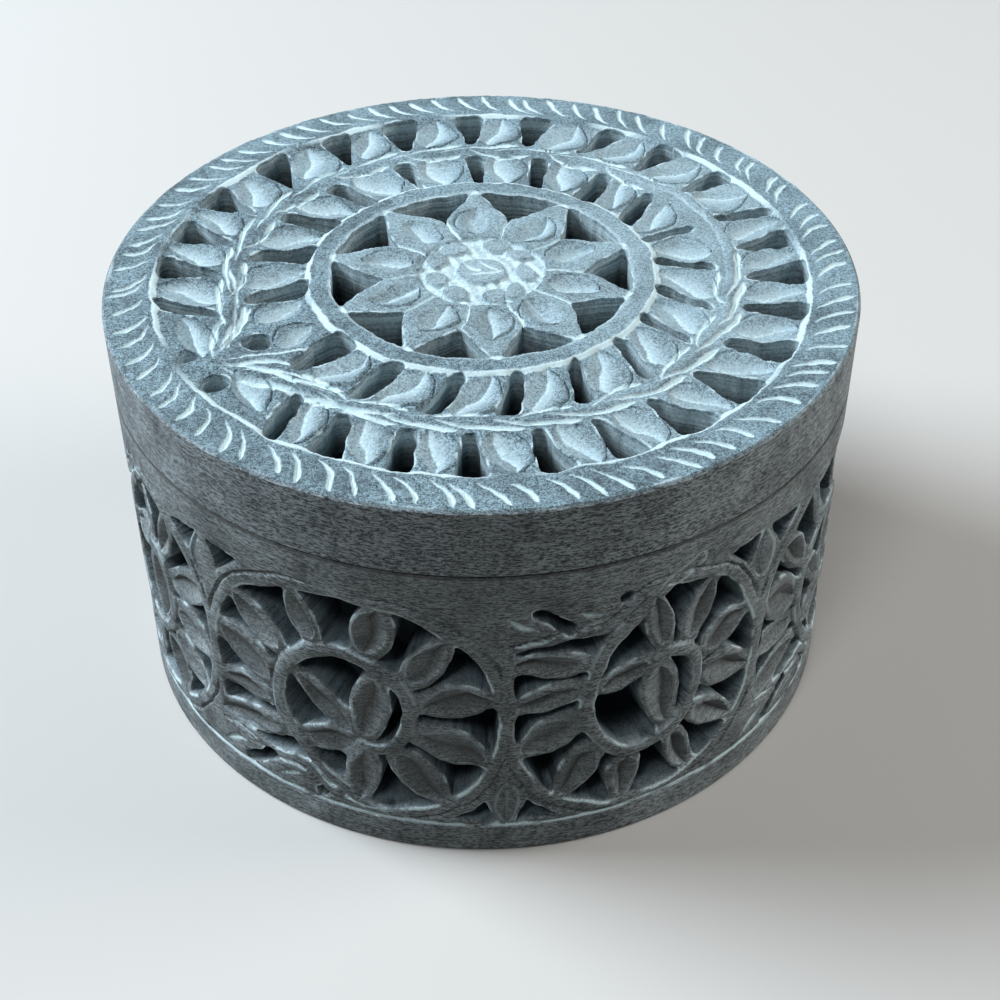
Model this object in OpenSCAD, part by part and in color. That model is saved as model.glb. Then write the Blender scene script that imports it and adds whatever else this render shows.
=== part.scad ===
// Round trinket box of soapstone with a lift-off lid, turned and then pierced by hand.
// Eight scrolled leaf medallions open the wall. Two leaf garlands and a flower open the lid.

/* [Box] */
// Outside diameter of the body and the lid
box_d = 100; // [96:1:108]
// Height of the body up to the seam under the lid
body_h = 49; // [46:0.5:53]
// Thickness of the pierced wall
wall_t = 6; // [5:0.5:6.5]
// Thickness of the floor
floor_t = 4.5; // [3:0.5:5]
// Height of the plain band round the foot
foot_band_h = 5; // [4:0.5:6]
// Height of the plain band under the seam
rim_band_h = 6.2; // [5.5:0.1:8]
// Worn bevel on the outer edges
edge_bevel = 0.4; // [0.2:0.1:0.8]

/* [Lid] */
// Height of the lid's side
lid_h = 10; // [9:0.5:12]
// Thickness of the lid's pierced plate
plate_t = 6.5; // [5:0.5:7]
// Thickness of the collar that the lid fits over
collar_t = 2.7; // [2:0.1:3]
// Gap between the collar and the lid, at its side and over it
collar_gap = 0.3; // [0.2:0.05:0.5]

/* [Wall carving] */
// Arc of a medallion whose scroll rises; the falling one beside it takes the rest of the pair
rising_arc = 48; // [44:0.5:50]
// Angle of the first rising medallion, from the front towards the right
first_medallion = -20.5; // [-45:0.5:45]
// Width of the post between two medallions
post_w = 1.9; // [1.6:0.1:2.6]
// Height of the rail between the foot band and the medallions
rail_h = 1.2; // [0.8:0.1:2]
// Width of a scroll's stem
scroll_w = 1.9; // [1.5:0.1:2.4]

/* [Lid carving] */
// Width of the flat border round the lid
border_w = 6.5; // [6:0.1:8]
// Outer radius of the ring round the flower
flower_ring_r = 23; // [21.5:0.1:24]
// Width of the ring round the flower
flower_ring_w = 2.8; // [2:0.1:3.5]
// Width of the solid band that the garlands' stems and stalks run in
stem_band_w = 3.3; // [2.8:0.1:4.5]
// How wide the slots between the leaves are cut, as a share of their usual width
slot_open = 1; // [0.8:0.05:1.15]
// Depth of the hollow in each leaf and petal
hollow_depth = 0.6; // [0.3:0.1:1]
// Width of a leaf's hollow, as a share of the stone between two slots
hollow_share = 0.68; // [0.5:0.02:0.75]
// Petals of the flower
petal_n = 10; // [9:1:11]
// Width of a petal
petal_w = 9.6; // [9.2:0.1:10]
// Radius of the solid rosette in the middle of the flower
rosette_r = 9.5; // [8.5:0.1:11]

/* [Hidden] */
$fn = 96;

// Levels and radii of the turned blanks
box_r = box_d / 2;
cavity_r = box_r - wall_t;
collar_r = cavity_r + collar_t;
recess_r = collar_r + collar_gap;
recess_top = body_h + lid_h - plate_t;
collar_top = recess_top - collar_gap;
top_z = body_h + lid_h;
past = 1;

// Colours of the dry stone
wall_colour = [0.42, 0.45, 0.47];
lid_colour = [0.55, 0.61, 0.64];

// Leaf shape shared by the wall and the lid: where its sides are set out, and how full they are
leaf_steps = [0.07, 0.25, 0.5, 0.75, 0.93];
leaf_skew = 0.85;
leaf_full = 0.7;
petal_full = 1;
// How far a tip runs into the stone it touches
leaf_bite = 1.2;

// Pairs of medallions round the wall, each with one scroll up and one scroll down
medallion_pairs = 4;
pair_arc = 360 / medallion_pairs;
falling_arc = pair_arc - rising_arc;

// Window levels on the wall
window_bottom = foot_band_h + rail_h;
window_top = body_h - rim_band_h;
window_mid = (window_bottom + window_top) / 2;
window_half_h = (window_top - window_bottom) / 2;
cut_from = cavity_r * cos(pair_arc / 2) - past;

// A medallion is drawn for a window of this half width and half height
art_half_w = 20;
art_half_h = 18.3;
window_squareness = 2.3;
window_step = 8;
// Where the window swells to its neighbour and draws in over the leaf spray: angle, width, depth
window_swell = [207, 9, 4.2];
window_dent = [244, 18, 4.8];

// Scroll: a feed that runs into a loop and curls in at its end
loop_r = 9;
feed_r = 7.5;
feed_turn = 35;
curl_start = 300;
curl_end = 340;
curl_in = 2.2;
scroll_start = -20;
scroll_step = 15;

// Leaves between a scroll and its ring: place on the stem, place on the ring, width
rising_leaves = [
    [42, 207, 5], [68, 192, 4.4], [86, 164, 7], [121, 141, 5], [159, 110, 4.6], [200, 74, 5.4],
    [239, 45, 5.2], [258, 12, 5.8], [286, 339, 6.2], [317, 310, 5.4], [338, 272, 5]
];
falling_leaves = [
    [44, 203, 4.2], [63, 184, 5], [97, 161, 5.6], [133, 132, 5.8], [165, 100, 5.4], [208, 62, 5.4],
    [233, 33, 5], [270, 10, 6], [290, 338, 5], [313, 302, 5.2], [334, 270, 4.8]
];
// Leaves inside a scroll's loop, from its end: place on the stem, width
rising_loop = [[212, 5.6], [118, 4], [42, 5.2]];
falling_loop = [[205, 6.2], [73, 4.4]];

// Holes beside the leaf spray below a scroll's feed: ends of a slot, then a drilled hole
spray_slot = [[-16.4, -18.2], [-11.8, -14.6]];
spray_slot_w = 2;
spray_hole = [-4.2, -17.9];
spray_hole_r = 1;
// Three-cornered hole beside a bud, from the middle of the post and the edge of the pierced zone
bud_hole = [[1.2, 0], [6.6, 0.8], [3, 4.2]];
bud_hole_drop = 0.8;

// Garlands: both grow from one root at the left and meet at the right, with a slot between each two leaves.
// A slot has a place and a width at its far end, then at the stem, in degrees round the lid
garland_root = 212.5;
garland_tip = 24.5;
garland_out_r = box_r - border_w;
garland_r = (garland_out_r + flower_ring_r) / 2;
border_slots = [
    [11.8, 6, 9.7, 1.8], [21.2, 2.6, 22.8, 3.2], [36, 5.2, 36.7, 2.2], [49.8, 6.2, 51, 2.4],
    [62.6, 5.2, 66, 2.2], [79, 7.2, 79.3, 2], [92.8, 6.4, 93.2, 2.8], [106.8, 8, 108.7, 3],
    [120.5, 6.6, 123.7, 2.2], [136, 9, 139.7, 2.2], [152.2, 8, 154.4, 1.8], [165, 7.4, 167.4, 2.2],
    [177.4, 7, 180, 2.2], [188.8, 4, 196.2, 2.8], [234.8, 3.4, 230.8, 3.6], [245, 6.4, 242.7, 4],
    [257.5, 4.2, 255.5, 3.6], [268.8, 5.2, 268.3, 3], [282.6, 6.4, 281, 2.8], [295, 6, 293, 2.5],
    [308.2, 8.2, 306, 2.8], [320.8, 7.8, 319.2, 3], [334.6, 7.4, 331.8, 3], [347.5, 5.6, 346, 2.6],
    [360.2, 7.4, 357.8, 2.4]
];
ring_slots = [
    [7.2, 4.5, 2, 3.8], [20, 3.2, 21.3, 2.7], [33.2, 7.6, 40.5, 4], [53, 8.6, 55.8, 4.8],
    [71, 4.4, 74.8, 5], [91, 2.8, 92.3, 5.2], [112, 1.8, 112, 5.6], [130.5, 6, 134, 6],
    [149.5, 8.6, 152.3, 4.6], [168, 10.6, 172.5, 4.4], [188, 10.4, 192, 3.5], [222, 11, 223, 5],
    [243.5, 7.5, 241, 5.2], [263.5, 5, 258.3, 6.4], [281.5, 4.4, 275.5, 6], [299.8, 4.2, 293.8, 5],
    [317.5, 4.6, 311.5, 5], [333.3, 5, 328.2, 2.6], [350.8, 6.4, 343.3, 2.8]
];
// Rounding of a slot: share of the way from the stem, share of the full width there
slot_steps = [[0, 0.45], [0.08, 0.9], [0.3, 1], [0.55, 1], [0.8, 1], [0.94, 0.9], [1, 0.55]];
// A hollow's ends stay this far from the stem's band and from the border or the ring
hollow_inset = [0.4, 1.4];
// Where a leaf starts on the stem, as a share of the stone from the slot nearer the root
hollow_start = 0.28;
// Leaves round the root: place of the base, place of the tip, width, with both radii as for the drilled holes
root_leaves = [
    [0.81, 209, 0.83, 194.8, 3.3], [0.73, 216.3, 0.84, 229.2, 3.1],
    [0.4, 201.8, 0.054, 195.8, 4.4], [0.37, 214.2, 0.083, 209.5, 4.1]
];
// Drilled holes round the root: share of the way from the ring to the border, place, radius
root_eyes = [[0.893, 207.2, 1.6], [0.878, 217.2, 1.8], [0.468, 209.2, 2.1]];

// Flower: petals are set out by eye, so they drift round and back
flower_r = flower_ring_r - flower_ring_w;
petal_first = 18;
petal_drift = 4.5;
petal_root = 3.5;
// Hollow of a petal: distance of its ends from the rosette and from the ring, share of the petal's width
petal_hollow = [2.4, 1, 0.5];

function polar(r, a) = r * [cos(a), sin(a)];
function arc_length(r, a) = r * a * PI / 180;
function bump(a, at, width) = exp(-pow((a - at) / width, 2));

// Pointed oval from its base to its tip
function leaf_outline(base, tip, w, full = leaf_full) =
    let (
        axis = tip - base,
        side = [-axis.y, axis.x] / norm(axis) * w / 2,
        spread = [for (s = leaf_steps) pow(sin(180 * pow(s, leaf_skew)), full)],
        last = len(leaf_steps) - 1
    )
    concat(
        [base],
        [for (i = [0:last]) base + leaf_steps[i] * axis + spread[i] * side],
        [tip],
        [for (i = [last:-1:0]) base + leaf_steps[i] * axis - spread[i] * side]
    );

// Band of one width along a row of points
function stem_outline(points, w) =
    let (
        last = len(points) - 1,
        sides = [for (i = [0:last])
            let (run = points[min(i + 1, last)] - points[max(i - 1, 0)])
            [-run.y, run.x] / norm(run) * w / 2]
    )
    concat(
        [for (i = [0:last]) points[i] + sides[i]],
        [for (i = [last:-1:0]) points[i] - sides[i]]
    );

// Medallion art: angles on the stem run clockwise from straight down, and on the ring as usual
function scroll_r(a) =
    loop_r + feed_r * exp(-a / feed_turn)
    - curl_in * pow(max(0, a - curl_start) / (curl_end - curl_start), 2);
function scroll_point(a) = -scroll_r(a) * [sin(a), cos(a)];
function scroll_points() = [for (a = [scroll_start:scroll_step:curl_end]) scroll_point(a)];
function window_r(a) =
    pow(pow(abs(cos(a)) / art_half_w, window_squareness)
        + pow(abs(sin(a)) / art_half_h, window_squareness), -1 / window_squareness)
    + window_swell[2] * bump(a, window_swell[0], window_swell[1])
    - window_dent[2] * bump(a, window_dent[0], window_dent[1]);
function window_outline() = [for (a = [0:window_step:360 - window_step]) polar(window_r(a), a)];

// Point of the wall at an arc length and a height, seen square to the medallion's middle
function on_wall(x, y) = [box_r * sin(x / box_r * 180 / PI), y];
module wall_art(points, size)
    polygon([for (p = points) on_wall(p.x * size.x / art_half_w, p.y * size.y / art_half_h)]);

// What is left standing in a medallion's window
module medallion_leaves(size, ring_leaves, loop_leaves) {
    wall_art(stem_outline(scroll_points(), scroll_w), size);
    for (leaf = ring_leaves) {
        tip = polar(window_r(leaf[1]) + leaf_bite, leaf[1]);
        wall_art(leaf_outline(scroll_point(leaf[0]), tip, leaf[2]), size);
    }
    for (leaf = loop_leaves)
        wall_art(leaf_outline(scroll_point(curl_end), scroll_point(leaf[0]), leaf[1]), size);
}

// Holes of one medallion, seen from outside
module medallion_holes(size, half_pitch, ring_leaves, loop_leaves) {
    difference() {
        wall_art(window_outline(), size);
        medallion_leaves(size, ring_leaves, loop_leaves);
    }
    wall_art(stem_outline(spray_slot, spray_slot_w), size);
    translate(on_wall(spray_hole.x, spray_hole.y)) circle(r = spray_hole_r);
    for (turn = [0, 180]) rotate(turn)
        polygon([for (p = bud_hole) on_wall(half_pitch - p.x, p.y - size.y - bud_hole_drop)]);
}

// One medallion cut through the wall, kept clear of the posts on both sides of it
module medallion_cut(arc, ring_leaves, loop_leaves) {
    half_pitch = arc_length(box_r, arc / 2);
    half_w = half_pitch - post_w / 2;
    half_angle = half_w / box_r * 180 / PI;
    reach = box_r + past;
    intersection() {
        rotate([90, 0, 0])
            translate([0, 0, cut_from])
                linear_extrude(reach - cut_from)
                    medallion_holes([half_w, window_half_h], half_pitch, ring_leaves, loop_leaves);
        translate([0, 0, -body_h])
            linear_extrude(2 * body_h)
                polygon([
                    [0, 0],
                    2 * reach * [-sin(half_angle), -cos(half_angle)],
                    2 * reach * [sin(half_angle), -cos(half_angle)]
                ]);
    }
}

module box_body() color(wall_colour)
    difference() {
        rotate_extrude() polygon([
            [0, 0], [box_r - edge_bevel, 0], [box_r, edge_bevel], [box_r, body_h],
            [collar_r, body_h], [collar_r, collar_top], [cavity_r, collar_top],
            [cavity_r, floor_t], [0, floor_t]
        ]);
        for (pair = [0:medallion_pairs - 1])
            rotate(first_medallion + pair * pair_arc)
                translate([0, 0, window_mid]) {
                    medallion_cut(rising_arc, rising_leaves, rising_loop);
                    rotate(pair_arc / 2) mirror([0, 0, 1])
                        medallion_cut(falling_arc, falling_leaves, falling_loop);
                }
    }

// Lid art, seen from above: a corner of a slot between two leaves, on one side of it or the other
function slot_corner(slot, stem_r, edge_r, step, side) =
    let (
        t = step[0],
        spread = t * t * (3 - 2 * t),
        place = slot[2] + (slot[0] - slot[2]) * t,
        w = (slot[3] + (slot[1] - slot[3]) * spread) * step[1] * slot_open
    )
    polar(stem_r + (edge_r - stem_r) * t, place + side * w / 2);
function garland_zone_r(share) = flower_ring_r + share * (garland_out_r - flower_ring_r);
function petal_place(i) = petal_first + i * 360 / petal_n + petal_drift * (1 - cos(i * 360 / petal_n));

module leaf_slots(slots, stem_r, edge_r)
    for (slot = slots)
        polygon(concat(
            [for (step = slot_steps) slot_corner(slot, stem_r, edge_r, step, 1)],
            [for (i = [len(slot_steps) - 1:-1:0]) slot_corner(slot, stem_r, edge_r, slot_steps[i], -1)]
        ));

module garland_holes() {
    leaf_slots(border_slots, garland_r + stem_band_w / 2, garland_out_r);
    leaf_slots(ring_slots, garland_r - stem_band_w / 2, flower_ring_r);
    for (eye = root_eyes)
        translate(polar(garland_zone_r(eye[0]), eye[1])) circle(r = eye[2]);
}

// Hollow of the leaf between two slots, which leans away from the root
module leaf_hollow(low, high, stem_r, edge_r) {
    away = sign(edge_r - stem_r);
    stem_gap = [low[2] + low[3] / 2, high[2] - high[3] / 2];
    edge_gap = [low[0] + low[1] / 2, high[0] - high[1] / 2];
    front = low[2] > garland_root || high[2] < garland_tip;
    start = front ? hollow_start : 1 - hollow_start;
    base = polar(stem_r + away * hollow_inset[0], stem_gap[0] + start * (stem_gap[1] - stem_gap[0]));
    tip = polar(edge_r - away * hollow_inset[1], (edge_gap[0] + edge_gap[1]) / 2);
    stone = (stem_gap[1] - stem_gap[0] + edge_gap[1] - edge_gap[0]) / 2;
    polygon(leaf_outline(base, tip, hollow_share * arc_length((stem_r + edge_r) / 2, stone)));
}

module leaf_hollows(slots, stem_r, edge_r) {
    last = len(slots) - 1;
    for (i = [0:last]) {
        low = slots[i];
        high = i < last ? slots[i + 1] : slots[0] + [360, 0, 360, 0];
        if (low[2] > garland_root || high[2] < garland_root) leaf_hollow(low, high, stem_r, edge_r);
    }
}

module garland_hollows() {
    leaf_hollows(border_slots, garland_r + stem_band_w / 2, garland_out_r);
    leaf_hollows(ring_slots, garland_r - stem_band_w / 2, flower_ring_r);
    for (leaf = root_leaves) {
        tip = polar(garland_zone_r(leaf[2]), leaf[3]);
        polygon(leaf_outline(polar(garland_zone_r(leaf[0]), leaf[1]), tip, leaf[4]));
    }
}

module petal_hollows()
    for (i = [0:petal_n - 1]) {
        base = polar(rosette_r + petal_hollow[0], petal_place(i));
        tip = polar(flower_r - petal_hollow[1], petal_place(i));
        polygon(leaf_outline(base, tip, petal_hollow[2] * petal_w));
    }

module flower_holes()
    difference() {
        circle(r = flower_r);
        circle(r = rosette_r);
        for (i = [0:petal_n - 1]) {
            base = polar(rosette_r - petal_root, petal_place(i));
            tip = polar(flower_r + leaf_bite, petal_place(i));
            polygon(leaf_outline(base, tip, petal_w, petal_full));
        }
    }

module lid() color(lid_colour)
    difference() {
        rotate_extrude() polygon([
            [0, recess_top], [recess_r, recess_top], [recess_r, body_h], [box_r, body_h],
            [box_r, top_z - edge_bevel], [box_r - edge_bevel, top_z], [0, top_z]
        ]);
        translate([0, 0, recess_top - past])
            linear_extrude(plate_t + 2 * past) {
                garland_holes();
                flower_holes();
            }
        translate([0, 0, top_z - hollow_depth])
            linear_extrude(hollow_depth + past) {
                garland_hollows();
                petal_hollows();
            }
    }

box_body();
lid();
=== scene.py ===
# Looks of a pierced soapstone trinket box: carved relief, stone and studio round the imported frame
import math

import bpy
import numpy as np
from mathutils import Matrix, Vector


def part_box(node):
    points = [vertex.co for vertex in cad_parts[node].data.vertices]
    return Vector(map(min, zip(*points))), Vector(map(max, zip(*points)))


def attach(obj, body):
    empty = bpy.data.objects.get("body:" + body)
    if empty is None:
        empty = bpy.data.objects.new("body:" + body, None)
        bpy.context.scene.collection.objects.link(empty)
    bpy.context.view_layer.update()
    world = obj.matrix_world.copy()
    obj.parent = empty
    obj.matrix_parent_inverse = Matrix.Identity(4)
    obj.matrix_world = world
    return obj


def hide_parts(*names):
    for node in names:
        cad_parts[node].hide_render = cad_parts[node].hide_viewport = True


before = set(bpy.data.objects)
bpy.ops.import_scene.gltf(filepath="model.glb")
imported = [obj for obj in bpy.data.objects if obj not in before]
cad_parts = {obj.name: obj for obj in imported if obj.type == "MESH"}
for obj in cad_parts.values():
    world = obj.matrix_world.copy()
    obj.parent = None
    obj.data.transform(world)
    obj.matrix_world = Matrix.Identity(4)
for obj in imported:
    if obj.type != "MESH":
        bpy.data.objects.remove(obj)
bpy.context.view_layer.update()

MM = 0.001

# Turned blanks, in millimetres: outer sizes from the frame, the rest as built
body_box = [np.array(corner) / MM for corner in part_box("box_body")]
lid_box = [np.array(corner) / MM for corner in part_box("lid")]
BOX_R = lid_box[1][0]
SEAM_Z = lid_box[0][2]
TOP_Z = lid_box[1][2]
COLLAR_TOP = body_box[1][2]
WALL_T = 6
FLOOR_T = 4.5
COLLAR_T = 2.7
COLLAR_GAP = 0.3
EDGE_BEVEL = 0.4
CAVITY_R = BOX_R - WALL_T
COLLAR_R = CAVITY_R + COLLAR_T
RECESS_R = COLLAR_R + COLLAR_GAP
RECESS_TOP = COLLAR_TOP + COLLAR_GAP

# Grid steps of the two carved faces, and the most triangles a piece keeps
LID_STEP = 0.2
WALL_STEP = 0.25
MOST_TRIANGLES = 196000

# Leaf shape, as on the solids
LEAF_SKEW = 0.85
LEAF_FULL = 0.7
LEAF_BITE = 1.2

# Wall carving
PAIRS = 4
PAIR_ARC = 360 / PAIRS
RISING_ARC = 48
FIRST_MEDALLION = -20.5
POST_W = 1.9
SCROLL_W = 1.9
FOOT_BAND_H = 5
WINDOW_BOTTOM = 6.2
WINDOW_TOP = SEAM_Z - 6.2
WINDOW_MID = (WINDOW_BOTTOM + WINDOW_TOP) / 2
WINDOW_HALF_H = (WINDOW_TOP - WINDOW_BOTTOM) / 2
ART_HALF_W = 20
ART_HALF_H = 18.3
WINDOW_SQUARENESS = 2.3
# Where a window's edge swells out and dents in: angle, spread and depth
WINDOW_SWELL = (207, 9, 4.2)
WINDOW_DENT = (244, 18, 4.8)
LOOP_R = 9
FEED_R = 7.5
FEED_TURN = 35
CURL_START = 300
CURL_END = 340
CURL_IN = 2.2
SCROLL_START = -20
# Leaves of the two scrolls: angle on the scroll, angle on the window's edge, width
RISING_LEAVES = [
    (42, 207, 5), (68, 192, 4.4), (86, 164, 7), (121, 141, 5), (159, 110, 4.6), (200, 74, 5.4),
    (239, 45, 5.2), (258, 12, 5.8), (286, 339, 6.2), (317, 310, 5.4), (338, 272, 5),
]
FALLING_LEAVES = [
    (44, 203, 4.2), (63, 184, 5), (97, 161, 5.6), (133, 132, 5.8), (165, 100, 5.4), (208, 62, 5.4),
    (233, 33, 5), (270, 10, 6), (290, 338, 5), (313, 302, 5.2), (334, 270, 4.8),
]
# Leaves inside the scrolls' loops: angle on the scroll, width
RISING_LOOP = [(212, 5.6), (118, 4), (42, 5.2)]
FALLING_LOOP = [(205, 6.2), (73, 4.4)]
SPRAY_SLOT = ((-16.4, -18.2), (-11.8, -14.6))
SPRAY_SLOT_W = 2
SPRAY_HOLE = (-4.2, -17.9)
SPRAY_HOLE_R = 1
BUD_HOLE = np.array([(1.2, 0), (6.6, 0.8), (3, 4.2)])
BUD_HOLE_DROP = 0.8
# Cuts round the leaf spray under a scroll's feed: start, end, width
SPRAY_CUTS = [
    ((-21.3, -18), (-16.2, -15.2), 1.2), ((-20.5, -13.2), (-13.5, -14.2), 0.8),
    ((-11, -17.4), (-6.8, -16.4), 0.8), ((-11.6, -15), (-5.6, -15.6), 0.8),
]
RING_BAND = 1.9
BUD_LENGTH = 7.6
BUD_W = 3.4

# Lid carving
BORDER_W = 6.5
FLOWER_RING_R = 23
FLOWER_RING_W = 2.8
FLOWER_R = FLOWER_RING_R - FLOWER_RING_W
STEM_BAND_W = 3.3
GARLAND_ROOT = 212.5
GARLAND_TIP = 24.5
BACK_SPAN = GARLAND_ROOT - GARLAND_TIP
GARLAND_OUT_R = BOX_R - BORDER_W
GARLAND_R = (GARLAND_OUT_R + FLOWER_RING_R) / 2
# Slots between leaves: place and width at the far end, then at the stem, in degrees
BORDER_SLOTS = [
    (11.8, 6, 9.7, 1.8), (21.2, 2.6, 22.8, 3.2), (36, 5.2, 36.7, 2.2), (49.8, 6.2, 51, 2.4),
    (62.6, 5.2, 66, 2.2), (79, 7.2, 79.3, 2), (92.8, 6.4, 93.2, 2.8), (106.8, 8, 108.7, 3),
    (120.5, 6.6, 123.7, 2.2), (136, 9, 139.7, 2.2), (152.2, 8, 154.4, 1.8), (165, 7.4, 167.4, 2.2),
    (177.4, 7, 180, 2.2), (188.8, 4, 196.2, 2.8), (234.8, 3.4, 230.8, 3.6), (245, 6.4, 242.7, 4),
    (257.5, 4.2, 255.5, 3.6), (268.8, 5.2, 268.3, 3), (282.6, 6.4, 281, 2.8), (295, 6, 293, 2.5),
    (308.2, 8.2, 306, 2.8), (320.8, 7.8, 319.2, 3), (334.6, 7.4, 331.8, 3), (347.5, 5.6, 346, 2.6),
    (360.2, 7.4, 357.8, 2.4),
]
RING_SLOTS = [
    (7.2, 4.5, 2, 3.8), (20, 3.2, 21.3, 2.7), (33.2, 7.6, 40.5, 4), (53, 8.6, 55.8, 4.8),
    (71, 4.4, 74.8, 5), (91, 2.8, 92.3, 5.2), (112, 1.8, 112, 5.6), (130.5, 6, 134, 6),
    (149.5, 8.6, 152.3, 4.6), (168, 10.6, 172.5, 4.4), (188, 10.4, 192, 3.5), (222, 11, 223, 5),
    (243.5, 7.5, 241, 5.2), (263.5, 5, 258.3, 6.4), (281.5, 4.4, 275.5, 6), (299.8, 4.2, 293.8, 5),
    (317.5, 4.6, 311.5, 5), (333.3, 5, 328.2, 2.6), (350.8, 6.4, 343.3, 2.8),
]
# Drilled holes and cut leaves at the root, with radii as a share of the way from ring to border
ROOT_EYES = [(0.893, 207.2, 1.6), (0.878, 217.2, 1.8), (0.468, 209.2, 2.1)]
ROOT_LEAVES = [
    (0.81, 209, 0.83, 194.8, 4.6, 1), (0.73, 216.3, 0.84, 229.2, 4.2, -1),
    (0.4, 201.8, 0.054, 195.8, 4.4, -1), (0.37, 214.2, 0.083, 209.5, 4.1, -1),
]
HOLLOW_SHARE = 0.92
HOLLOW_INSET = (0.2, 0.6)
HOLLOW_START = 0.28
# Cuts that run together at the garlands' root: thick end, thin end, width and bow
ROOT_STROKES = [
    ((-22.5, -25.3), (-32.7, -20.5), 1.7, -1.3), ((-23.3, -20.8), (-28.1, -19.7), 0.9, 0),
    ((-21.6, -17.6), (-32.7, -19.9), 0.6, 0), ((-16.2, -26.8), (-32.3, -20.3), 0.8, -1),
    ((-31.6, -12), (-32.9, -17.9), 0.8, 0), ((-33.7, 0.8), (-31.4, -8.6), 0.9, 0),
    ((-30, -8.4), (-31.4, -14.7), 0.7, 0),
]
PETALS = 10
PETAL_W = 8.8
PETAL_SKEW = 0.6
PETAL_FULL = 1.15
PETAL_FIRST = 18
PETAL_DRIFT = 4.5
PETAL_ROOT = 3.5
# A petal's cut: distance from the rosette and from the ring, and share of the petal's width
PETAL_HOLLOW = (-0.2, 4, 0.52)
ROSETTE_R = 9.5
BUTTON_R = 3.4
NICKS = 84

rng = np.random.default_rng(7)


# Plain helpers
RIPPLE_WAVES = 7
RIPPLE_SIZES = (0.6, 1.5)
RIPPLE_NORM = 3


def polar(r, a):
    return np.array([r * np.cos(np.radians(a)), r * np.sin(np.radians(a))])


def bump(x, at, width):
    return np.exp(-(((x - at) / width) ** 2))


def half_turn(a):
    """An angle brought between -180 and 180."""
    return (a + 180) % 360 - 180


def ramp(x, low, high):
    t = np.clip((x - low) / (high - low), 0, 1)
    return t * t * (3 - 2 * t)


def ripple(points, size, seed):
    """Smooth noise of about -1 to 1 over points with any number of coordinates."""
    waves = np.random.default_rng(seed)
    total = 0
    for _ in range(RIPPLE_WAVES):
        way = waves.normal(size=points.shape[-1])
        way *= 2 * np.pi / size * waves.uniform(*RIPPLE_SIZES) / np.linalg.norm(way)
        total = total + np.sin(points @ way + waves.uniform(0, 2 * np.pi))
    return total / RIPPLE_NORM


def draws(ranges):
    """One random number from each range, in order."""
    return [rng.uniform(*span) for span in ranges]


def uneven(points, middle, spread, size, seed):
    return middle + spread * ripple(points, size, seed)


def wander(points, sizes, seeds):
    """Sideways shifts of hand-cut lines in two directions, each a long and a short ripple."""
    (far, long), (near, short) = sizes
    return [far * ripple(points, long, s) + near * ripple(points, short, s + 1) for s in seeds]


def smooth_max(a, b, blend):
    h = np.clip(blend - np.abs(a - b), 0, None) / blend
    return np.maximum(a, b) + h * h * blend / 4


# A carved face on a grid
FILLET = 1.0
EDGE_ROUND = 0.16
EDGE_REACH = 0.18
FALL = 0.4
NOWHERE = -9.0
SOLID = 3.0
FAR = 1e9
MARGIN = 1.5
PAINTED_SHADE_SCALE = 0.28
POWDER_LEAST = 0.06
HALF_LEAST = 0.25
ALL = np.s_[:, :]


class Sheet:
    """A face to carve: how far inside the stone each point lies, its height, powder with some painted
    highlights, and painted shade.
    """

    def __init__(self, xs, ys, warp):
        self.xs, self.ys = xs, ys
        grid_x, grid_y = np.meshgrid(xs, ys)
        self.x, self.y = grid_x + warp[0], grid_y + warp[1]
        self.grid = np.stack([grid_x, grid_y], -1)
        self.inside = np.full(grid_x.shape, SOLID)
        self.height = np.full(grid_x.shape, NOWHERE)
        self.powder = np.zeros(grid_x.shape)
        self.painted_shade = np.zeros(grid_x.shape)

    def near(self, points, margin=MARGIN):
        """Part of the grid round some points, and its coordinates."""
        low, high = np.min(points, 0) - margin, np.max(points, 0) + margin
        i0, i1 = np.searchsorted(self.xs, (low[0], high[0]))
        j0, j1 = np.searchsorted(self.ys, (low[1], high[1]))
        part = np.s_[j0:j1, i0:i1]
        return part, self.x[part], self.y[part]

    def add(self, part, d, relief, edge=(EDGE_ROUND, EDGE_REACH)):
        """Lays stone where d is positive, with its edges rounded over."""
        rounded = edge[0] * np.exp(-np.maximum(d, 0) / edge[1])
        height = relief - rounded - FALL * np.maximum(-d, 0)
        self.height[part] = np.maximum(height, self.height[part])
        self.inside[part] = smooth_max(self.inside[part], d, FILLET)

    def pierce(self, part, d):
        """Opens a hole where d is positive."""
        self.inside[part] = np.minimum(self.inside[part], -d)
        self.height[part] -= EDGE_ROUND * np.exp(-np.abs(d) / EDGE_REACH)

    def tones(self):
        """Powder as positive values and painted shade as small negative ones."""
        return np.where(self.powder > POWDER_LEAST, self.powder, self.powder - PAINTED_SHADE_SCALE * self.painted_shade)

    def groove(self, part, d, half_w, depth, powder, where=True):
        """Cuts a V along d = 0 and leaves powder in it."""
        v = np.clip(1 - np.abs(d) / half_w, 0, 1) * where
        self.height[part] -= depth * v
        self.dust(part, powder * ramp(v, 0, high=0.5))

    def dust(self, part, powder):
        """Leaves powder where there is less."""
        self.powder[part] = np.maximum(self.powder[part], powder)


# Shapes drawn on a face
def along(x, y, start, end, bow):
    """Place along a bowed line, the same kept to its length, distance across it and past its ends."""
    axis = np.subtract(end, start)
    length = np.hypot(*axis)
    e = axis / length
    x, y = x - start[0], y - start[1]
    s = (x * e[0] + y * e[1]) / length
    on = np.clip(s, 0, 1)
    q = y * e[0] - x * e[1] - bow * np.sin(np.pi * on)
    return s, on, q, np.maximum(np.maximum(-s, s - 1), 0) * length


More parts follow.
